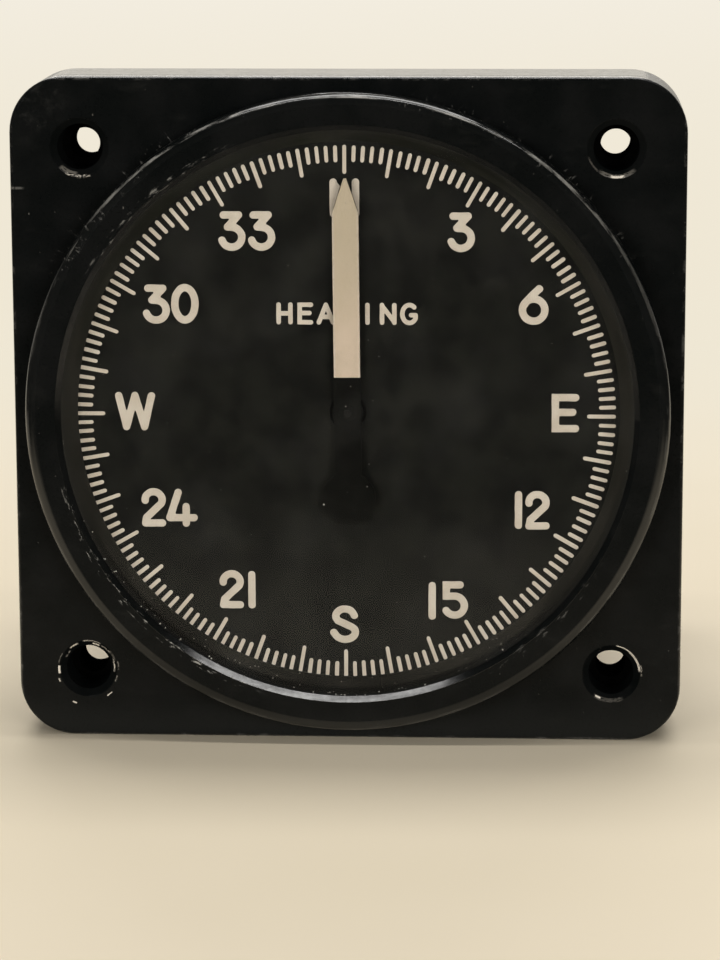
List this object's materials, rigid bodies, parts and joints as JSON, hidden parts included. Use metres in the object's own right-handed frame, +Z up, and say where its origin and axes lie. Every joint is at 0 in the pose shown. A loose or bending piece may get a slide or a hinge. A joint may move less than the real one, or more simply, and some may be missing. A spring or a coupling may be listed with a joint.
{
  "type": "remote indicating compass",
  "caption": "Square-flanged panel compass repeater: a black compass dial under glass in a round boss, a turning pointer, a cylindrical rear case and a round connector.",
  "frame": {"origin": "where the dial's axis meets the front face of the flange", "axes": "-Y is the way the dial faces, out of the panel; +X is right and +Z is up as the dial is read"},
  "size_m": [0.0794, 0.0838, 0.0794],
  "materials": {
    "housing_paint": "satin",
    "case_paint": "matte",
    "insert_metal": "satin",
    "gasket_rubber": "matte",
    "glass": "polished",
    "mask_paint": "satin",
    "dial_paint": "matte",
    "marking": "matte",
    "pointer_black": "matte",
    "luminous_coat": "matte",
    "weight_black": "matte",
    "brass": "satin",
    "steel": "polished",
    "magnet": "satin",
    "jewel": "polished",
    "alloy": "satin",
    "motor_steel": "satin",
    "lamination": "matte",
    "copper_wire": "satin",
    "board": "satin",
    "lead_sleeve": "satin",
    "connector_metal": "satin",
    "connector_body": "satin",
    "gold_pin": "polished"
  },
  "bodies": {
    "case": {"front_housing": "housing_paint", "mounting_inserts": "insert_metal", "glass_gasket": "gasket_rubber", "cover_glass": "glass", "mask_ring": "mask_paint", "dial_plate": "dial_paint", "dial_graduations": "marking", "mounting_plate": "alloy", "clamp_ring": "alloy", "front_bearing_bush": "brass", "front_jewel": "jewel", "motor_front_cap": "alloy", "motor_screws": "steel", "motor_housing": "motor_steel", "flux_ring": "lamination", "stator_winding": "copper_wire", "stator_core": "lamination", "motor_rear_cap": "alloy", "rear_cap_screws": "steel", "rear_bearing_screw": "brass", "rear_jewel": "jewel", "bearing_lock_nut": "brass", "board_pillars": "brass", "terminal_board": "board", "board_screws": "brass", "terminals": "brass", "motor_leads": "lead_sleeve", "connector_leads": "lead_sleeve", "rear_case": "case_paint", "case_seal": "gasket_rubber", "case_screws": "steel", "connector_gasket": "gasket_rubber", "connector_shell": "connector_metal", "connector_insert": "connector_body", "connector_pins": "gold_pin", "connector_screws": "steel", "connector_nuts": "steel"},
    "rotor": {"pointer_blade": "pointer_black", "pointer_luminous_coat": "luminous_coat", "balance_weight": "weight_black", "pointer_hub": "weight_black", "rotor_shaft": "steel", "magnet_bush": "brass", "rotor_magnet": "magnet"}
  },
  "joints": [
    {"name": "pointer_spin", "type": "hinge", "parent": "case", "child": "rotor", "pos_m": [0, 0, 0], "axis": [0, 1, 0], "continuous": true}
  ]
}
